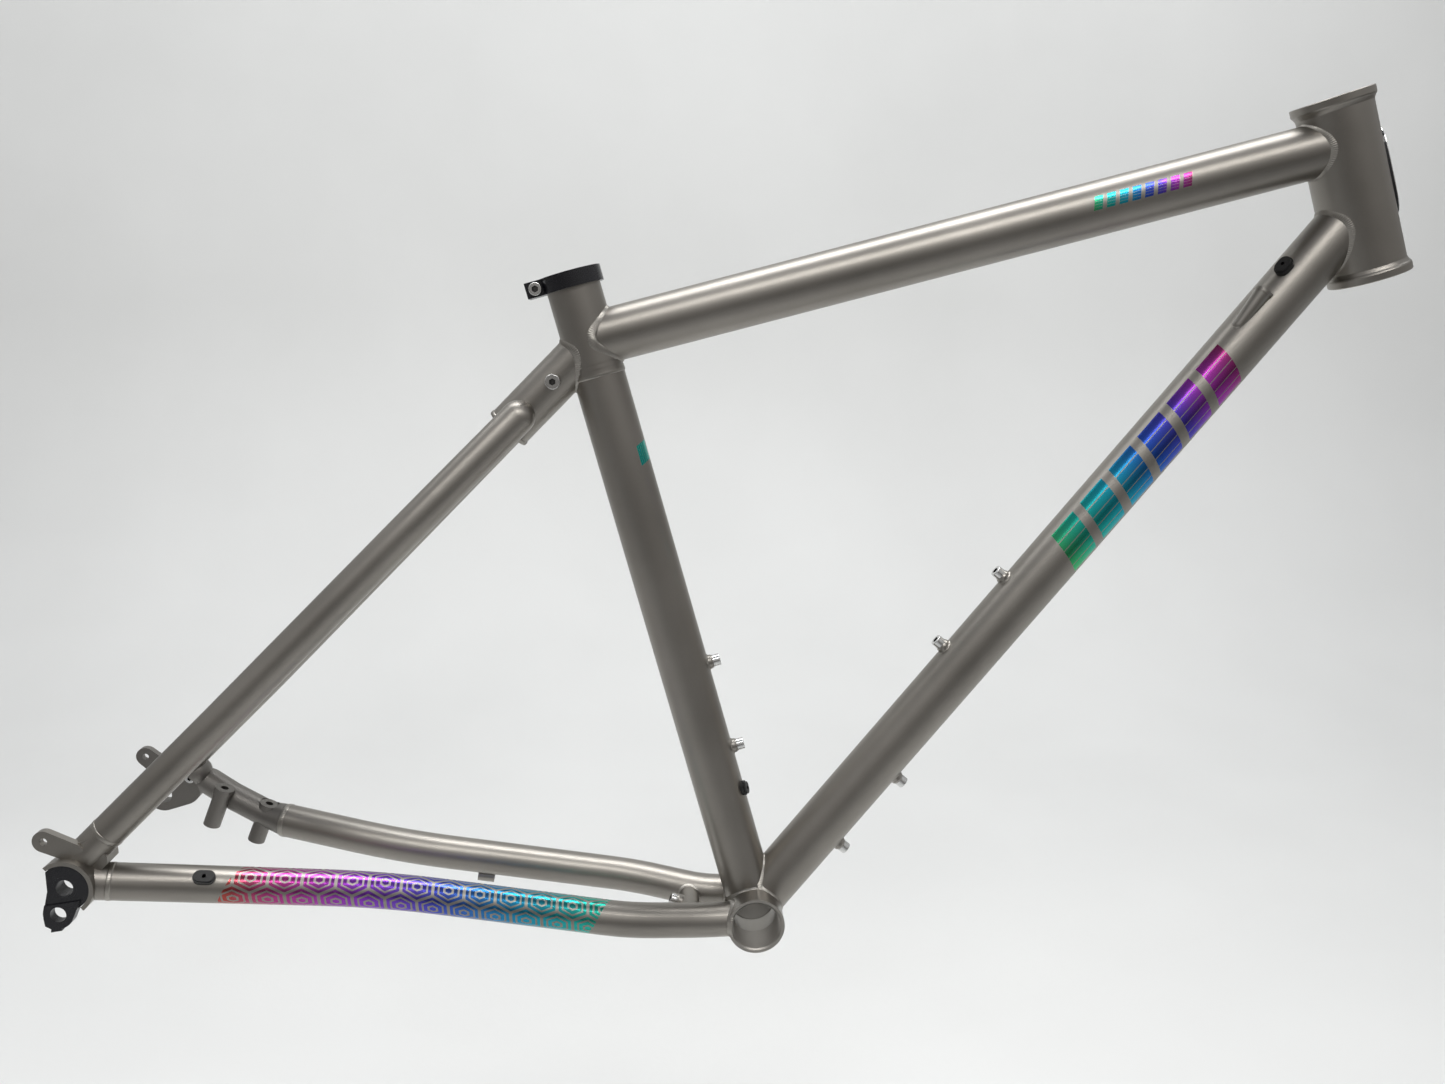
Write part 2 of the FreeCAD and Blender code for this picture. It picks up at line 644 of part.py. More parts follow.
seat_turn = math.radians(20.0)
seat_port_normal = vec(
    seat_front.x * math.cos(seat_turn), -math.sin(seat_turn), seat_front.z * math.cos(seat_turn)
)
seat_port_at = seat_way * 90.5 + seat_port_normal * seat_tube_r
plug, plug_hole = oval_grommet(seat_port_at, seat_port_normal, seat_way, 8.2, 10.6, 3.6, main_wall)
seat_solid = cylinder(seat_way * 60.0, seat_way * 140.0, seat_tube_r)
nodes["seat_tube_grommet"] = plug.cut(seat_solid.cut(plug_hole))
seat_tube = seat_tube.cut(plug_hole)

stay_at, stay_way = run_point(chain_corners[0], chain_corners[1], -366.5)
stay_normal = stay_way.cross(vec(0, -0.7071, -0.7071)).normalize()
if stay_normal.y > 0:
    stay_normal = stay_normal * -1.0
plug, plug_hole = oval_grommet(
    stay_at + stay_normal * chain_stay_r, stay_normal, stay_way, 9.0, 14.0, 3.8, stay_wall
)
nodes["chainstay_grommet"] = plug.cut(chain_outer.cut(plug_hole))
right_chainstay = right_chainstay.cut(plug_hole)
nodes["right_chainstay"] = right_chainstay
nodes["left_chainstay"] = left_chainstay

stop_normal = down_tube_normal(stop_lift)
hood_foot = down_way * (stop_mouth - stop_length) + stop_normal * (down_tube_r - 2.4)
hood_mouth = down_way * stop_mouth + stop_normal * (down_tube_r + 1.6)
hood_way = (hood_mouth - hood_foot).normalize()
hood = cone(hood_foot, hood_mouth, 4.4, stop_mouth_r - 0.5)
lip = cylinder(hood_mouth - hood_way * 2.0, hood_mouth, stop_mouth_r)
hood = join([hood, Part.makeSphere(4.4, hood_foot), lip])
pocket = cone(hood_foot + hood_way * 10.0, hood_mouth + hood_way, 2.2, stop_mouth_r - 1.0)
hood = hood.cut(pocket).cut(down_solid)
nodes["cable_stop"] = keep_piece(hood, hood_mouth)
nodes["down_tube"] = down_tube
nodes["seat_tube"] = seat_tube

# ---- hose guide under the left chainstay ----
guide_on, guide_way = run_point(chain_corners[1], chain_corners[2], -197.0)
guide_centre = vec(guide_on.x, -guide_on.y, guide_on.z) + vec(0, 0, -chain_stay_r - 3.0)
guide_line = vec(guide_way.x, -guide_way.y, guide_way.z)
guide = ring(guide_centre - guide_line * 6.0, guide_centre + guide_line * 6.0, 4.2, 2.7)
nodes["hose_guide"] = guide.cut(mirrored(chain_outer))

# ---- head badge: a plain curved shield with two pins ----
badge_normal = vec(head_way.z, 0, -head_way.x)
badge_centre = head_foot + head_way * badge_height
badge_low = badge_centre - head_way * (badge_half_length + 4.5)
badge_high = badge_centre + head_way * (badge_half_length + 4.5)
shell_part = ring(badge_low, badge_high, head_tube_r + 2.0, head_tube_r)
half_w = 12.0
outline = []
for k in range(28):
    a = 2.0 * math.pi * k / 28
    u = half_w * math.copysign(abs(math.cos(a)) ** 0.7, math.cos(a))
    v = badge_half_length * math.copysign(abs(math.sin(a)) ** 0.9, math.sin(a))
    outline.append(badge_centre + Y_AXIS * u + head_way * v)
stamp = Part.Face(Part.makePolygon(outline + [outline[0]])).extrude(badge_normal * 40.0)
inner_outline = [badge_centre + (p - badge_centre) * 0.8 for p in outline]
inner_stamp = Part.Face(Part.makePolygon(inner_outline + [inner_outline[0]])).extrude(badge_normal * 40.0)
field = ring(badge_low, badge_high, head_tube_r + 3.0, head_tube_r + 1.3)
pins = []
pin_holes = []
for v in (-badge_half_length + 3.5, badge_half_length - 3.5):
    root = badge_centre + head_way * v + badge_normal * (head_tube_r + 0.2)
    pins.append(cylinder(root, root + badge_normal * 2.3, 1.1))
    pin_holes.append(cylinder(root - badge_normal * 1.0, root + badge_normal * 4.0, 1.1))
badge = shell_part.common(stamp).cut(field.common(inner_stamp))
for hole in pin_holes:
    badge = badge.cut(hole)
nodes["head_badge"] = badge
nodes["badge_pins"] = Part.makeCompound(pins)

# ---- seat collar with its cross bolt and nut ----
collar_low = seat_way * (sleeve_end + 1.7 - collar_height)
collar_high = seat_way * (sleeve_end + 1.7)
rear = seat_front * -1.0
band = cylinder(collar_low, collar_high, collar_r)
ear = Part.makeBox(collar_r + 9.2, 18.0, collar_height, vec(0, -9.0, 0))
ear.Placement = FreeCAD.Placement(collar_low, FreeCAD.Rotation(Y_AXIS, seat_angle - 90.0))
ear = ear.mirror(collar_low, seat_front)
collar = join([band, ear])
lip_level = seat_way * (sleeve_end + 0.1)
collar = collar.cut(cylinder(collar_low - seat_way, lip_level, seat_sleeve_r + joint_gap))
collar = collar.cut(cylinder(collar_low - seat_way, collar_high + seat_way, seat_bore_r + 0.4))
split = Part.makeBox(40.0, 2.0, collar_height + 4.0, vec(-40.0, -1.0, -2.0))
split.Placement = FreeCAD.Placement(collar_low, FreeCAD.Rotation(Y_AXIS, seat_angle - 90.0))
collar = collar.cut(split)
bolt_line = collar_low + seat_way * (collar_height / 2.0) + rear * (collar_r + 2.8)
head_seat = bolt_line - Y_AXIS * 7.6
collar = collar.cut(cylinder(head_seat, head_seat - Y_AXIS * 6.0, bolt_head_r + 0.15))
collar = collar.cut(cylinder(bolt_line - Y_AXIS * 12.0, bolt_line + Y_AXIS * 12.0, bolt_hole_r))
nodes["seat_collar"] = collar
clamp_shank_r = bolt_hole_r - joint_gap
nodes["collar_bolt"] = socket_bolt(head_seat, Y_AXIS * -1.0, bolt_head_r, 4.6, clamp_shank_r, 18.6, 4.0)
nut = ring(bolt_line + Y_AXIS * 9.0, bolt_line + Y_AXIS * 11.8, 4.6, bolt_hole_r)
nodes["collar_nut"] = nut

for name, shape in nodes.items():
    solids = shape.Solids
    shape = solids[0] if len(solids) == 1 else Part.makeCompound(solids)
    print(name, len(solids), round(shape.Volume, 1), shape.isValid())
    shape.exportStep("parts/" + name + ".step")
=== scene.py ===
import bpy
import json
import math
from bisect import bisect_right
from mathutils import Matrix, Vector
from mathutils.bvhtree import BVHTree


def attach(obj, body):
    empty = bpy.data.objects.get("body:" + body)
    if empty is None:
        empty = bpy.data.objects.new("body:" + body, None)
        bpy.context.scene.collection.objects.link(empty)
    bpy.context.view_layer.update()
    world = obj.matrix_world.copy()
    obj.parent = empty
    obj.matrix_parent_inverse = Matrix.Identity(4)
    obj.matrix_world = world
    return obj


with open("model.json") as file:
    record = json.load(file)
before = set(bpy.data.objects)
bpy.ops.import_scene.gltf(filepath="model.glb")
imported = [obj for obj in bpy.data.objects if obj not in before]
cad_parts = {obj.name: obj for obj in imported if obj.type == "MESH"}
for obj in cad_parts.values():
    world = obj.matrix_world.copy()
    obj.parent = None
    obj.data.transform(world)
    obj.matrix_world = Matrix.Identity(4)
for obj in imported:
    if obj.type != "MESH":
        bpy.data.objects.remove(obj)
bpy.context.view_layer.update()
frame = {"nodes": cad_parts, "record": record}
nodes = frame["nodes"]

# ---- tube lines of the frame, in metres, with the shell centre as origin ----
SEAT_WAY = Vector((-math.cos(math.radians(74.68)), 0, math.sin(math.radians(74.68))))
DOWN_WAY = Vector((math.cos(math.radians(50.49)), 0, math.sin(math.radians(50.49))))
TOP_WAY = Vector((math.cos(math.radians(14.352)), 0, math.sin(math.radians(14.352))))
HEAD_WAY = Vector((-math.cos(math.radians(72.14)), 0, math.sin(math.radians(72.14))))
WISHBONE_WAY = Vector((math.sqrt(0.5), 0, math.sqrt(0.5)))
TOP_POINT = Vector((0, 0, 0.43363))
HEAD_POINT = Vector((0.41951, 0, 0.4466))
WISHBONE_END = Vector((-0.1658, 0, 0.3471))
SEAT_R = 0.01753
SLEEVE_R = 0.01803
HEAD_R = 0.02395
DOWN_R = 0.0178
TOP_R = 0.018
WISHBONE_R = 0.0151
CHAIN_R = 0.012
SEAT_STAY_R = 0.0111
BRIDGE = Vector((-0.0462, 0, 0.0005))
BRIDGE_R = 0.0075
BADGE_HEIGHT = 65.5
BOSS_R = 0.005
SHELL_BORE_R = 0.017
CHAIN_FOOT = Vector((-0.434, -0.0707, 0.0635))
CHAIN_BEND = Vector((-0.257, -0.0345, 0.0349))
CHAIN_LAST = Vector((-0.036, -0.0226, 0.0))
CHAIN_END = Vector((0.0, -0.0203, 0.0))
STAY_FOOT = Vector((-0.432, -0.0678, 0.084))
STAY_LOW = Vector((-0.352, -0.0606, 0.1618))
STAY_HIGH = Vector((-0.222, -0.0393, 0.2911))
STAY_END = Vector((-0.157, -0.0186, 0.3559))


# ---- shader fields: arithmetic on sockets, so that patterns read as formulas ----
class Field:
    """A number that varies over the surface."""

    def __init__(self, tree, value):
        self.tree = tree
        self.value = value

    def op(self, name, *others, clamp=False):
        node = self.tree.nodes.new("ShaderNodeMath")
        node.operation = name
        node.use_clamp = clamp
        for socket, item in zip(node.inputs, (self, *others)):
            item = item.value if isinstance(item, Field) else item
            if isinstance(item, (int, float)):
                socket.default_value = item
            else:
                self.tree.links.new(item, socket)
        return Field(self.tree, node.outputs[0])

    def __add__(self, other):
        return self.op("ADD", other)

    def __sub__(self, other):
        return self.op("SUBTRACT", other)

    def __mul__(self, other):
        return self.op("MULTIPLY", other)

    def __truediv__(self, other):
        return self.op("DIVIDE", other)

    def above(self, edge):
        return self.op("GREATER_THAN", edge)

    def below(self, edge):
        return self.op("LESS_THAN", edge)

    def inside(self, low, high):
        return self.above(low) * self.below(high)

    def either(self, other):
        return self.op("MAXIMUM", other)

    def fold(self):
        return self.op("ABSOLUTE")

    def wrap(self, period):
        return self.op("WRAP", period, 0.0)


def place(tree):
    """The surface point in the row frame, as three fields in millimetres."""
    coord = tree.nodes.new("ShaderNodeTexCoord")
    split = tree.nodes.new("ShaderNodeSeparateXYZ")
    tree.links.new(coord.outputs["Object"], split.inputs[0])
    return [Field(tree, split.outputs[i]) * 1000.0 for i in range(3)]


def noise(tree, scale, detail=3.0, roughness=0.55):
    coord = tree.nodes.new("ShaderNodeTexCoord")
    node = tree.nodes.new("ShaderNodeTexNoise")
    node.inputs["Scale"].default_value = scale
    node.inputs["Detail"].default_value = detail
    node.inputs["Roughness"].default_value = roughness
    tree.links.new(coord.outputs["Object"], node.inputs["Vector"])
    return Field(tree, node.outputs["Fac"])


def ramp(tree, field, stops):
    node = tree.nodes.new("ShaderNodeValToRGB")
    points = node.color_ramp.elements
    while len(points) < len(stops):
        points.new(0.5)
    for element, (at, colour) in zip(points, stops):
        element.position = at
        element.color = (*colour, 1.0)
    tree.links.new(field.value, node.inputs[0])
    return node.outputs[0]


def mix(tree, factor, a, b):
    node = tree.nodes.new("ShaderNodeMix")
    node.data_type = "RGBA"
    for socket, item in zip((node.inputs[0], node.inputs[6], node.inputs[7]), (factor, a, b)):
        item = item.value if isinstance(item, Field) else item
        if isinstance(item, tuple):
            socket.default_value = (*item, 1.0)
        elif isinstance(item, (int, float)):
            socket.default_value = item
        else:
            tree.links.new(item, socket)
    return node.outputs[2]


def vector_op(tree, name, *inputs):
    """A vector node; inputs are sockets or constant vectors."""
    node = tree.nodes.new("ShaderNodeVectorMath")
    node.operation = name
    for socket, item in zip(node.inputs, inputs):
        if isinstance(item, Vector):
            socket.default_value = item
        else:
            tree.links.new(item, socket)
    return node


def round_normal(tree, origin, way, radius):
    """The exact outward direction on a round tube's outer face, and the face's own elsewhere."""
    coord = tree.nodes.new("ShaderNodeTexCoord")
    reach = vector_op(tree, "SUBTRACT", coord.outputs["Object"], origin).outputs[0]
    run = vector_op(tree, "DOT_PRODUCT", reach, way).outputs["Value"]
    level = tree.nodes.new("ShaderNodeVectorMath")
    level.operation = "SCALE"
    level.inputs[0].default_value = way
    tree.links.new(run, level.inputs["Scale"])
    radial = vector_op(tree, "SUBTRACT", reach, level.outputs[0]).outputs[0]
    size = Field(tree, vector_op(tree, "LENGTH", radial).outputs["Value"])
    mask = size.inside(radius - 0.0003, radius + 0.0001)
    turn = tree.nodes.new("ShaderNodeVectorTransform")
    turn.vector_type = "NORMAL"
    turn.convert_from = "OBJECT"
    turn.convert_to = "WORLD"
    tree.links.new(radial, turn.inputs[0])
    exact = vector_op(tree, "NORMALIZE", turn.outputs[0]).outputs[0]
    own = tree.nodes.new("ShaderNodeNewGeometry").outputs["Normal"]
    blend = tree.nodes.new("ShaderNodeMix")
    blend.data_type = "VECTOR"
    tree.links.new(mask.value, blend.inputs[0])
    tree.links.new(own, blend.inputs[4])
    tree.links.new(exact, blend.inputs[5])
    return blend.outputs[1]


def bump(tree, height, strength, distance, base=None):
    node = tree.nodes.new("ShaderNodeBump")
    if base is not None:
        tree.links.new(base, node.inputs["Normal"])
    node.inputs["Strength"].default_value = strength
    node.inputs["Distance"].default_value = distance
    tree.links.new(height.value, node.inputs["Height"])
    return node.outputs[0]


def new_material(name):
    material = bpy.data.materials.new(name)
    material.use_nodes = True
    tree = material.node_tree
    return material, tree, tree.nodes["Principled BSDF"]


RAINBOW = [
    (0.00, (0.05, 0.42, 0.16)),
    (0.14, (0.02, 0.40, 0.33)),
    (0.34, (0.02, 0.33, 0.50)),
    (0.52, (0.03, 0.10, 0.50)),
    (0.68, (0.09, 0.06, 0.48)),
    (0.84, (0.38, 0.05, 0.42)),
    (1.00, (0.30, 0.04, 0.12)),
]


def titanium(name, dark, light, roughness, grain, grain_depth, mark=None, tube=None):
    """Bead-blasted titanium; mark(tree) gives the anodised pattern and its colour."""
    material, tree, shader = new_material(name)
    broad = noise(tree, 9.0, 4.0)
    fine = noise(tree, grain, 2.0, 0.7)
    colour = ramp(tree, broad * 0.7 + fine * 0.3, [(0.35, dark), (0.65, light)])
    rough = fine * 0.10 + broad * 0.08 + (roughness - 0.09)
    height = fine
    if mark:
        mask, tint = mark(tree)
        colour = mix(tree, mask, colour, tint)
        rough = rough - mask * (roughness - 0.22)
        height = fine * (mask * -0.8 + 1.0)
    tree.links.new(colour, shader.inputs["Base Color"])
    tree.links.new(rough.value, shader.inputs["Roughness"])
    base = round_normal(tree, *tube) if tube else None
    tree.links.new(bump(tree, height, 0.35, grain_depth, base), shader.inputs["Normal"])
    shader.inputs["Metallic"].default_value = 1.0
    return material


def along(fields, way):
    x, y, z = fields
    return x * way.x + z * way.z


def side_height(fields, way, offset):
    """Height above a tube's centre line, measured across the tube in its own plane."""
    x, y, z = fields
    return z * way.x - x * way.z - offset


def slanted_bars(s, h, start, end, pitch, width, low, high, lean):
    """Parallelogram bars between two stations, each cut by a few thin level slits."""
    run = s - h * lean - start
    bars = run.wrap(pitch).below(width)
    span = run.inside(0.0, end - start) * h.inside(low, high)
    slits = (h - low).wrap((high - low) / 5.0).above((high - low) / 5.0 * 0.10)
    return bars * span * slits


def down_tube_mark(tree):
    fields = place(tree)
    s = along(fields, DOWN_WAY)
    h = side_height(fields, DOWN_WAY, 0.0)
    start, end = 336.0, 512.0
    mask = slanted_bars(s, h, start, end, 29.4, 22.0, -14.2, 15.2, 0.28)
    return mask, ramp(tree, (s - start) / (end - start), RAINBOW)


def top_tube_mark(tree):
    fields = place(tree)
    s = along(fields, TOP_WAY)
    h = side_height(fields, TOP_WAY, 433.63 * TOP_WAY.x)
    start, end = 334.0, 402.0
    mask = slanted_bars(s, h, start, end, 8.6, 5.8, -1.5, 7.5, 0.30)
    return mask, ramp(tree, (s - start) / (end - start), RAINBOW)


def seat_tube_mark(tree):
    fields = place(tree)
    s = along(fields, SEAT_WAY)
    h = side_height(fields, SEAT_WAY, 0.0)
    start, end = 327.0, 344.0
    mask = slanted_bars(s, h, start, end, 17.0, 13.5, -17.4, -11.5, -0.4)
    stops = [(0.0, (0.0, 0.33, 0.30)), (1.0, (0.02, 0.40, 0.33))]
    return mask, ramp(tree, (s - start) / (end - start), stops)


def honeycomb_mark(tree):
    """Nested hexagons wrapped around the stay in staggered rows."""
    x, y, z = place(tree)
    # the stay's centre line: it sinks forward, and flares outward behind its bend
    centre_y = (x * 0.2045 + 18.05).op("MINIMUM", -34.7)
    turn = (z + x * 0.1616 + 6.63).op("ARCTAN2", centre_y - y)
    pitch = 20.9
    row_scale = 16.7
    first_centre = -336.2
    first_turn = math.radians(50.0)
    root3 = math.sqrt(3.0)
    u = (x - first_centre) / pitch + 0.5
    v = (turn - first_turn) * (CHAIN_R * 1000.0 / row_scale) + root3 / 2.0

    def cell(du, dv):
        gx = (u + du).wrap(1.0) - 0.5
        gy = (v + dv).wrap(root3) - root3 / 2.0
        return gx, gy, gx * gx + gy * gy

    ax, ay, a = cell(0.0, 0.0)
    bx, by, b = cell(0.5, root3 / 2.0)
    near = (a - b).below(0.0)
    gx = (ax * near + bx * (near * -1.0 + 1.0)).fold()
    gy = (ay * near + by * (near * -1.0 + 1.0)).fold()
    d = gx.either(gx * 0.5 + gy * (root3 / 2.0))
    bands = d.below(0.10).either(d.inside(0.17, 0.29)).either(d.inside(0.35, 0.45))
    rear_end, front_end, slant = -353.0, -112.0, 6.0
    span = (x - turn * slant).inside(rear_end, front_end)
    stops = [
        (0.00, (0.36, 0.07, 0.06)),
        (0.15, (0.40, 0.05, 0.26)),
        (0.34, (0.24, 0.05, 0.46)),
        (0.55, (0.06, 0.08, 0.45)),
        (0.78, (0.02, 0.25, 0.42)),
        (1.00, (0.03, 0.42, 0.32)),
    ]
    return bands * span, ramp(tree, (x + 350.0) / 238.0, stops)


def plain(name, colours, metallic, roughness, spread, grain, depth, coat=0.0):
    """A material with grain, patchy roughness and a little colour variation."""
    material, tree, shader = new_material(name)
    broad = noise(tree, 25.0, 4.0)
    fine = noise(tree, grain, 3.0, 0.65)
    colour = ramp(tree, broad * 0.5 + fine * 0.5, [(0.3, colours[0]), (0.7, colours[1])])
    rough = (fine - 0.5) * spread + (broad - 0.5) * spread + roughness
    tree.links.new(colour, shader.inputs["Base Color"])
    tree.links.new(rough.value, shader.inputs["Roughness"])
    tree.links.new(bump(tree, fine, 0.4, depth), shader.inputs["Normal"])
    shader.inputs["Metallic"].default_value = metallic
    shader.inputs["Coat Weight"].default_value = coat
    return material


def bolt_steel():
    """Bright turned steel, with painted shade: the base colour is darkened towards near-black down in the
    hexagon sockets.
    """
    material, tree, shader = new_material("steel_bolt")
    fine = noise(tree, 1500.0, 3.0, 0.65)
    # painted shade: ambient occlusion darkens the base colour in the sockets and other hollows
    socket_shade_ao = tree.nodes.new("ShaderNodeAmbientOcclusion")
    socket_shade_ao.inputs["Distance"].default_value = 0.003
    socket_shade_ao.samples = 6
    shade = Field(tree, socket_shade_ao.outputs["AO"]).op("POWER", 3.0)
    steel = ramp(tree, fine, [(0.3, (0.60, 0.60, 0.59)), (0.7, (0.78, 0.78, 0.77))])
    # the near-black colour is painted socket shade, mixed in where the occlusion is strong
    colour = mix(tree, shade, (0.015, 0.015, 0.016), steel)
    tree.links.new(colour, shader.inputs["Base Color"])
    tree.links.new((fine * 0.14 + 0.14).value, shader.inputs["Roughness"])
    tree.links.new(bump(tree, fine, 0.4, 0.00003), shader.inputs["Normal"])
    shader.inputs["Metallic"].default_value = 1.0
    return material


def badge_metal():
    """Polished raised rim around a dark enamel field with a few bright level lines."""
    material, tree, shader = new_material("badge_metal")
    fields = place(tree)
    x, y, z = fields
    s = along(fields, HEAD_WAY) - (HEAD_POINT.dot(HEAD_WAY) * 1000.0)
    reach = (x - HEAD_POINT.x * 1000.0) * HEAD_WAY.z - (z - HEAD_POINT.z * 1000.0) * HEAD_WAY.x
    radius = (reach * reach + y * y).op("SQRT")
    enamel_r = 25.55
    field = radius.below(enamel_r)
    lines = (s - BADGE_HEIGHT).fold().wrap(5.0).below(1.0) * y.fold().below(6.5)
    dark = field * (lines * -1.0 + 1.0)
    fine = noise(tree, 900.0)
    silver = ramp(tree, fine, [(0.3, (0.60, 0.60, 0.60)), (0.7, (0.75, 0.75, 0.74))])
    tree.links.new(mix(tree, dark, silver, (0.012, 0.012, 0.014)), shader.inputs["Base Color"])
    tree.links.new((fine * 0.12 + 0.18).value, shader.inputs["Roughness"])
    tree.links.new((dark * -0.9 + 1.0).value, shader.inputs["Metallic"])
    tree.links.new(bump(tree, fine, 0.2, 0.00005), shader.inputs["Normal"])
    return material


# dark and light tone, roughness, grain frequency and grain depth
BLASTED = ((0.245, 0.230, 0.208), (0.315, 0.296, 0.270), 0.40, 2600.0, 0.00006)
tubing = titanium("titanium_blasted", *BLASTED)
machined = titanium("titanium_machined", (0.275, 0.260, 0.237), (0.345, 0.327, 0.302), 0.34, 3600.0, 0.00004)
printed = titanium("titanium_printed", (0.17, 0.162, 0.150), (0.235, 0.224, 0.208), 0.47, 1700.0, 0.00016)
bead = titanium("titanium_weld", (0.29, 0.275, 0.25), (0.38, 0.36, 0.33), 0.33, 3000.0, 0.00003)
SHELL_CENTRE = Vector((0, 0, 0))


def tube_metal(name, origin, way, radius, mark=None):
    return titanium(name, *BLASTED, mark, (origin, way, radius))


marked = {
    "down_tube": tube_metal("titanium_down_tube", SHELL_CENTRE, DOWN_WAY, DOWN_R, down_tube_mark),
    "top_tube": tube_metal("titanium_top_tube", TOP_POINT, TOP_WAY, TOP_R, top_tube_mark),
    "seat_tube": tube_metal("titanium_seat_tube", SHELL_CENTRE, SEAT_WAY, SEAT_R, seat_tube_mark),
    "seat_tube_sleeve": tube_metal("titanium_sleeve", SHELL_CENTRE, SEAT_WAY, SLEEVE_R),
    "wishbone_tube": tube_metal("titanium_wishbone", WISHBONE_END, WISHBONE_WAY, WISHBONE_R),
    "head_tube": tube_metal("titanium_head_tube", HEAD_POINT, HEAD_WAY, HEAD_R),
    "right_chainstay": titanium("titanium_chainstay", *BLASTED, honeycomb_mark),
    "right_dropout": tubing,
}
slots = {
    "titanium": tubing,
    "machined_titanium": machined,
    "printed_titanium": printed,
    "black_anodised": plain(
        "black_anodised", ((0.005, 0.005, 0.007), (0.010, 0.010, 0.013)), 0.0, 0.27, 0.10, 2200.0, 0.00004
    ),
    "steel_bolt": bolt_steel(),
    "rubber": plain("rubber", ((0.006, 0.006, 0.006), (0.013, 0.013, 0.013)), 0.0, 0.46, 0.12, 1300.0, 0.0001),
    "badge_metal": badge_metal(),
}

slot_of = {part["node"]: part["material_slot"] for part in frame["record"]["subparts"]}
for name, obj in nodes.items():
    obj.data.materials.clear()
    obj.data.materials.append(marked.get(name, slots[slot_of[name]]))


# ---- weld beads: one rippled ring of overlapping puddles at every tube joint ----
def tree_of(names):
    """A ray-casting tree of the listed CAD nodes."""
    points = []
    faces = []
    for name in names:
        mesh = nodes[name].data
        base = len(points)
        points += [v.co.copy() for v in mesh.vertices]
        faces += [[base + i for i in p.vertices] for p in mesh.polygons]
    return BVHTree.FromPolygons(points, faces)


def sideways(way):
    side = way.cross(Vector((0, 1, 0)))
    if side.length < 0.2:
        side = way.cross(Vector((1, 0, 0)))
    side.normalize()
    return side, way.cross(side).normalized()


def bead_mesh(name, path, height, width, ripple, closed=True):
    """A bead along (point, outward, across) stations, with crescent ripples."""
    ring = 10
    per_ripple = 5
    crescent = 0.55
    fall = 0.42
    lengths = [0.0]
    for (p, _, _), (q, _, _) in zip(path, path[1:] + path[:1]):
        lengths.append(lengths[-1] + (q - p).length)
    total = lengths[-1] if closed else lengths[-2]
    count = max(3, round(total / ripple)) * per_ripple
    rows = count if closed else count + 1
    points = []
    for i in range(rows):
        base = total * i / count
        for k in range(ring):
            a = 2.0 * math.pi * k / ring
            arc = crescent * ripple * math.cos(a)
            at = (base + arc) % total if closed else min(max(base + arc, 0.0), total)
            j = min(bisect_right(lengths, at), len(path)) - 1
            t = (at - lengths[j]) / max(lengths[j + 1] - lengths[j], 1e-9)
            p0, n0, c0 = path[j]
            p1, n1, c1 = path[(j + 1) % len(path)]
            p = p0.lerp(p1, t)
            out = n0.lerp(n1, t).normalized()
            across = c0.lerp(c1, t).normalized()
            phase = (i % per_ripple) / per_ripple
            swell = 1.0 - fall * phase
            points.append(p + out * (height * swell * math.cos(a)) + across * (width * math.sin(a)))
    faces = []
    for i in range(rows if closed else rows - 1):
        for k in range(ring):
            a = i * ring + k
            b = i * ring + (k + 1) % ring
            c = ((i + 1) % rows) * ring + (k + 1) % ring
            d = ((i + 1) % rows) * ring + k
            faces.append((a, b, c, d))
    if not closed:
        faces.append(tuple(range(ring)))
        faces.append(tuple((rows - 1) * ring + k for k in reversed(range(ring))))
    mesh = bpy.data.meshes.new(name)
    mesh.from_pydata(points, [], faces)
    mesh.validate()
    mesh.update()
    mesh.materials.append(bead)
    for polygon in mesh.polygons:
        polygon.use_smooth = True
    obj = bpy.data.objects.new(name, mesh)
    bpy.context.scene.collection.objects.link(obj)
    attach(obj, "frame")
    return obj


def smoothed(path, closed, start, way, radius, rounds=24):
    """The stations averaged with their neighbours, so that a bead turns a corner gently."""
    for _ in range(rounds):
        fresh = []
        count = len(path)
        for i in range(count):
            if not closed and i in (0, count - 1):
                fresh.append(path[i])
                continue
            trio = (path[i - 1], path[i], path[(i + 1) % count])
            point, out, across = [(a + b * 2.0 + c) / 4.0 for a, b, c in zip(*trio)]
            level = start + way * (point - start).dot(way)
            point = level + (point - level).normalized() * (radius + 0.0002)
            fresh.append((point, out.normalized(), across.normalized()))
        path = fresh
    return path


def mitre_weld(name, start, way, radius, targets, height=0.0010, width=0.0036, ripple=0.0013, reach=0.6):
    """The bead where a round tube meets the surface of other pieces, open where it misses them."""
    steps = 180
    tree = tree_of(targets)
    side, up = sideways(way)
    stations = []
    for i in range(steps):
        a = 2.0 * math.pi * i / steps
        out = side * math.cos(a) + up * math.sin(a)
        hit, normal, _, _ = tree.ray_cast(start + out * (radius + 0.0003), way, reach)
        if hit is None:
            stations.append(None)
            continue
        if normal.dot(way) > 0:
            normal = -normal
        corner = (out + normal).normalized()
        flat = (out - normal).normalized()
        stations.append((hit - corner * 0.0001, corner, flat))
    closed = None not in stations
    if not closed:
        first = max(i for i in range(steps) if stations[i] is None)
        stations = [stations[(first + 1 + i) % steps] for i in range(steps)]
        stations = [station for station in stations if station is not None]
    return bead_mesh(name, smoothed(stations, closed, start, way, radius), height, width, ripple, closed)


def ring_weld(name, centre, way, radius, height=0.0008, width=0.0026, ripple=0.0013, steps=90):
    """The bead around a butt joint between two pieces of the same diameter."""
    side, up = sideways(way)
    path = []
    for i in range(steps):
        a = 2.0 * math.pi * i / steps
        out = side * math.cos(a) + up * math.sin(a)
        path.append((centre + out * radius, out, way))
    return bead_mesh(name, path, height, width, ripple)


def beside(point):
    """The same point on the other side of the frame."""
    return Vector((point.x, -point.y, point.z))


def run_point(a, b, x):
    """The point at this x on the straight run from a to b."""
    return a.lerp(b, (x - a.x) / (b.x - a.x))


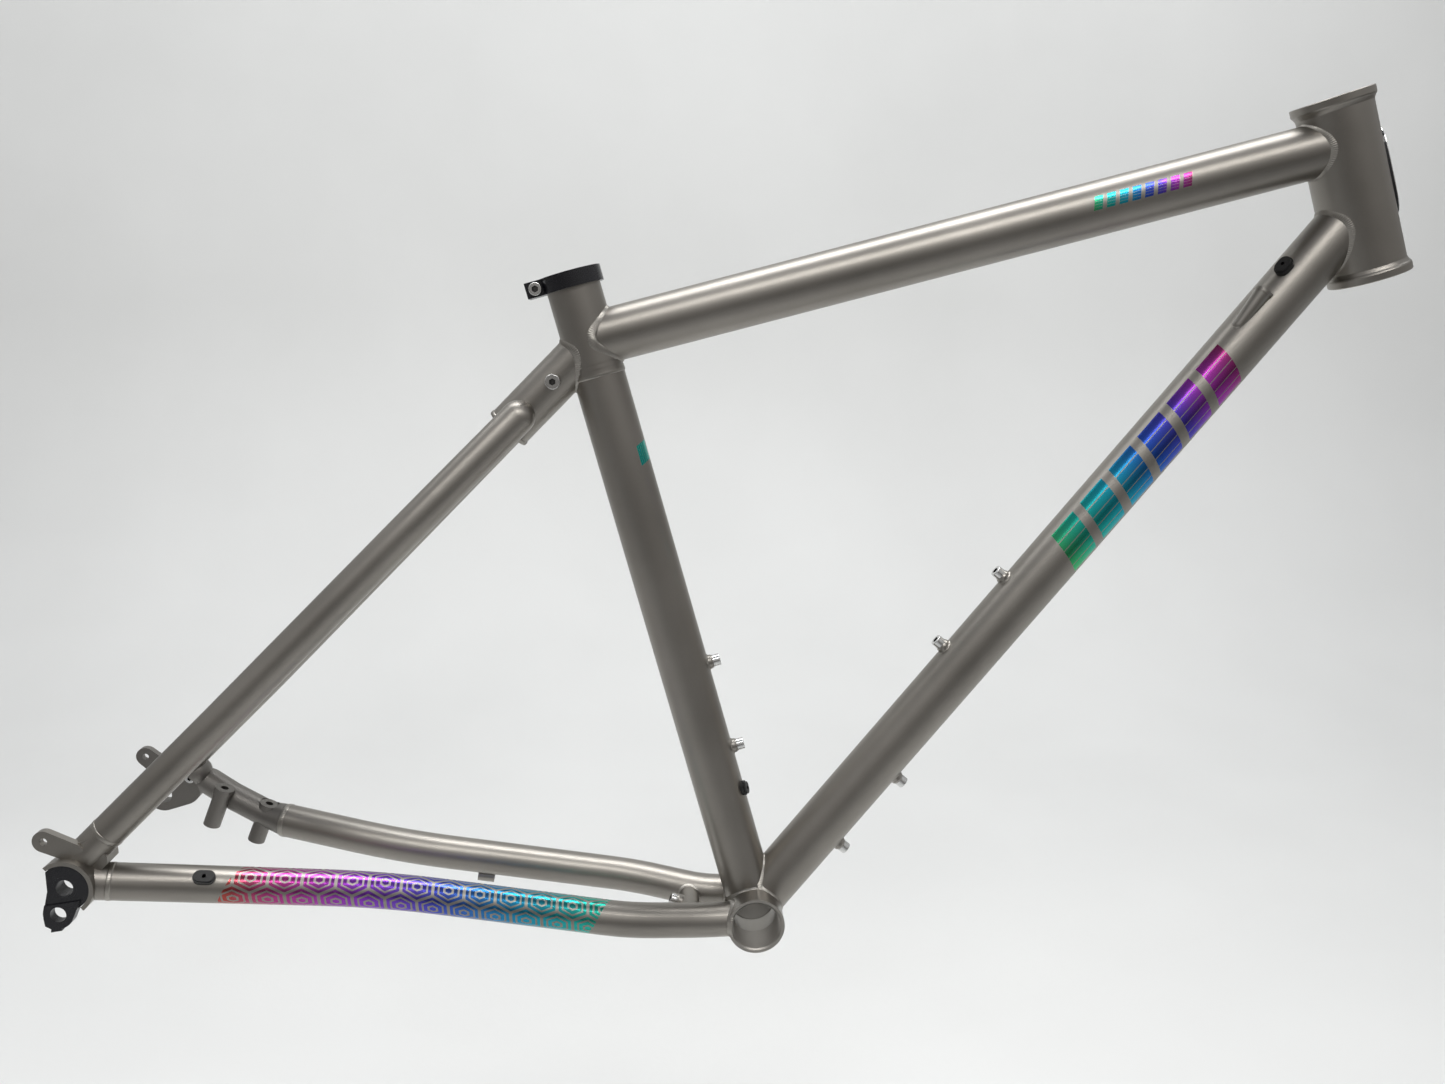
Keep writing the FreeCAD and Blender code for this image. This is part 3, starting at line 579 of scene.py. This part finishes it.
top_middle = TOP_POINT + TOP_WAY * 0.10
mitre_weld("weld_top_tube_seat", top_middle, -TOP_WAY, TOP_R, ["seat_tube_sleeve", "seat_tube"])
mitre_weld("weld_top_tube_head", top_middle, TOP_WAY, TOP_R, ["head_tube"])
mitre_weld("weld_down_tube_head", DOWN_WAY * 0.45, DOWN_WAY, DOWN_R, ["head_tube"])
mitre_weld("weld_down_tube_shell", DOWN_WAY * 0.2, -DOWN_WAY, DOWN_R, ["bottom_bracket_shell", "seat_tube"])
mitre_weld("weld_seat_tube_shell", SEAT_WAY * 0.2, -SEAT_WAY, SEAT_R, ["bottom_bracket_shell"])
wishbone_low = WISHBONE_END + WISHBONE_WAY * 0.01
seat_parts = ["seat_tube_sleeve", "seat_tube"]
mitre_weld("weld_wishbone_seat", wishbone_low, WISHBONE_WAY, WISHBONE_R, seat_parts)
ring_weld("weld_sleeve_foot", SEAT_WAY * 0.397, SEAT_WAY, SEAT_R + 0.0002, 0.0004, 0.0016)

# ---- welds of the rear triangle, on both sides ----
right_chain = run_point(CHAIN_FOOT, CHAIN_BEND, -0.421)
left_chain = run_point(CHAIN_FOOT, CHAIN_BEND, -0.3465)
chain_way = (CHAIN_BEND - CHAIN_FOOT).normalized()
stay_joint = run_point(STAY_FOOT, STAY_LOW, -0.421)
stay_way = (STAY_LOW - STAY_FOOT).normalized()
ring_weld("weld_right_chainstay_end", right_chain, chain_way, CHAIN_R, 0.00025, 0.0016)
ring_weld("weld_left_chainstay_end", beside(left_chain), beside(chain_way), CHAIN_R, 0.0003, 0.0020)
ring_weld("weld_right_seatstay_end", stay_joint, stay_way, SEAT_STAY_R, 0.00025, 0.0016)
ring_weld("weld_left_seatstay_end", beside(stay_joint), beside(stay_way), SEAT_STAY_R, 0.0003, 0.0020)
ring_weld("weld_wishbone_cap", WISHBONE_END + WISHBONE_WAY * 0.0007, WISHBONE_WAY, WISHBONE_R, 0.0006, 0.0016)
for label, turn in (("right", lambda point: point), ("left", beside)):
    shell_way = (turn(CHAIN_END) - turn(CHAIN_LAST)).normalized()
    shell_parts = ["bottom_bracket_shell", "seat_tube", "down_tube"]
    mitre_weld("weld_" + label + "_chainstay_shell", turn(CHAIN_LAST), shell_way, CHAIN_R, shell_parts)
    rise = (turn(STAY_END) - turn(STAY_HIGH)).normalized()
    bone = ["wishbone_tube", "wishbone_cap"]
    run = (STAY_END - STAY_HIGH).length
    name = "weld_" + label + "_seatstay_top"
    mitre_weld(name, turn(STAY_HIGH), rise, SEAT_STAY_R, bone, 0.0010, 0.0026, 0.0013, run)
    outward = turn(Vector((0, -1, 0)))
    stay = [label + "_chainstay"]
    mitre_weld("weld_" + label + "_bridge", BRIDGE, outward, BRIDGE_R, stay, 0.0009, 0.0022)

# ---- small welds around the threaded bosses of the tubes ----
seat_front = Vector((math.sin(math.radians(74.68)), 0, math.cos(math.radians(74.68))))
down_up = Vector((-DOWN_WAY.z, 0, DOWN_WAY.x))
boss_rows = (
    ("down", DOWN_WAY, down_up, DOWN_R, (0.2337, 0.2977), "down_tube"),
    ("under", DOWN_WAY, -down_up, DOWN_R, (0.0751, 0.1391), "down_tube"),
    ("seat", SEAT_WAY, seat_front, SEAT_R, (0.1207, 0.1847), "seat_tube"),
)
for label, way, outward, radius, stations, tube in boss_rows:
    for i, at in enumerate(stations):
        start = way * at + outward * (radius + 0.004)
        name = "weld_boss_" + label + "_" + str(i)
        mitre_weld(name, start, -outward, BOSS_R, [tube], 0.0006, 0.0013, 0.0009, 0.012)


# ---- thread ridges inside the shell ----
def thread_ridges(name, side):
    turns = 72
    pitch = 0.00106
    rows = []
    depth = 0.0325
    while depth > 0.010:
        rows.append((depth, SHELL_BORE_R + 0.00004))
        rows.append((depth - pitch * 0.25, SHELL_BORE_R - 0.00045))
        rows.append((depth - pitch * 0.5, SHELL_BORE_R - 0.00045))
        rows.append((depth - pitch * 0.75, SHELL_BORE_R + 0.00004))
        depth -= pitch
    points = []
    for y, r in rows:
        for k in range(turns):
            a = 2.0 * math.pi * k / turns
            points.append((r * math.cos(a), side * y, r * math.sin(a)))
    faces = []
    for i in range(len(rows) - 1):
        for k in range(turns):
            a = i * turns + k
            b = i * turns + (k + 1) % turns
            faces.append((a, b, b + turns, a + turns))
    mesh = bpy.data.meshes.new(name)
    mesh.from_pydata(points, [], faces)
    mesh.update()
    mesh.materials.append(machined)
    obj = bpy.data.objects.new(name, mesh)
    bpy.context.scene.collection.objects.link(obj)
    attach(obj, "frame")


thread_ridges("shell_thread_right", -1.0)
thread_ridges("shell_thread_left", 1.0)


# ---- floor that rises into a back wall, one smooth pale sheet ----
def studio():
    floor_z = -0.42
    wall_y = 2.3
    bend = 0.9
    half_width = 4.5
    profile = [(-3.2, floor_z), (0.0, floor_z)]
    for k in range(17):
        a = math.pi / 2.0 * k / 16
        profile.append((wall_y - bend + bend * math.sin(a), floor_z + bend - bend * math.cos(a)))
    profile.append((wall_y, 3.0))
    points = []
    for y, z in profile:
        points += [(-half_width, y, z), (half_width, y, z)]
    faces = [(2 * i, 2 * i + 1, 2 * i + 3, 2 * i + 2) for i in range(len(profile) - 1)]
    mesh = bpy.data.meshes.new("studio_sheet")
    mesh.from_pydata(points, [], faces)
    mesh.update()
    for polygon in mesh.polygons:
        polygon.use_smooth = True
    sheet = bpy.data.objects.new("studio_sheet", mesh)
    bpy.context.scene.collection.objects.link(sheet)
    material, tree, shader = new_material("pale_paint")
    cloud = noise(tree, 1.3, 3.0)
    colour = ramp(tree, cloud, [(0.3, (0.70, 0.70, 0.69)), (0.7, (0.75, 0.75, 0.74))])
    tree.links.new(colour, shader.inputs["Base Color"])
    tree.links.new(bump(tree, noise(tree, 160.0), 0.2, 0.0006), shader.inputs["Normal"])
    shader.inputs["Roughness"].default_value = 0.9
    mesh.materials.append(material)


studio()


def area_light(name, at, target, width, height, power, colour, spread):
    light = bpy.data.lights.new(name, "AREA")
    light.shape = "RECTANGLE"
    light.size = width
    light.size_y = height
    light.energy = power
    light.color = colour
    light.spread = math.radians(spread)
    obj = bpy.data.objects.new(name, light)
    obj.location = at
    obj.rotation_euler = (Vector(target) - Vector(at)).to_track_quat("-Z", "Y").to_euler()
    bpy.context.scene.collection.objects.link(obj)


area_light("wall_wash", (0.0, 0.75, 2.5), (0.0, 2.1, -0.2), 4.6, 0.9, 52.0, (0.975, 0.992, 1.0), 150.0)
area_light("key_strip", (0.15, -1.35, 1.75), (0.0, 0.0, 0.25), 2.6, 0.22, 5.0, (1.0, 0.99, 0.97), 80.0)
area_light("top_strip", (0.0, 0.25, 2.0), (0.0, 0.0, 0.25), 2.4, 0.25, 4.0, (1.0, 1.0, 1.0), 70.0)


def room_light():
    """A dim room: darker low down, with a broad soft glow at mid height."""
    world = bpy.data.worlds.new("room")
    world.use_nodes = True
    tree = world.node_tree
    coord = tree.nodes.new("ShaderNodeTexCoord")
    split = tree.nodes.new("ShaderNodeSeparateXYZ")
    tree.links.new(coord.outputs["Generated"], split.inputs[0])
    height = Field(tree, split.outputs[2]) * 0.5 + 0.5
    stops = [
        (0.00, (0.05, 0.043, 0.035)),
        (0.42, (0.10, 0.09, 0.08)),
        (0.55, (0.36, 0.35, 0.34)),
        (0.72, (0.62, 0.62, 0.62)),
        (0.90, (0.28, 0.29, 0.31)),
        (1.00, (0.20, 0.21, 0.23)),
    ]
    background = tree.nodes["Background"]
    tree.links.new(ramp(tree, height, stops), background.inputs["Color"])
    background.inputs["Strength"].default_value = 0.9
    return world


bpy.context.scene.world = room_light()

# ---- camera: a little behind the shell, looking slightly down and forward ----
camera_data = bpy.data.cameras.new("camera")
camera_data.sensor_width = 36.0
camera_data.lens = 29.603
camera_data.clip_start = 0.02
camera_object = bpy.data.objects.new("camera", camera_data)
yaw = math.radians(2.946)
pitch = math.radians(10.168)
forward = Vector((math.sin(yaw) * math.cos(pitch), math.cos(yaw) * math.cos(pitch), -math.sin(pitch)))
camera_object.location = (-0.06349, -0.80466, 0.41276)
camera_object.rotation_euler = forward.to_track_quat("-Z", "Y").to_euler()
bpy.context.scene.collection.objects.link(camera_object)
bpy.context.scene.camera = camera_object
bpy.context.scene.view_settings.view_transform = "Standard"
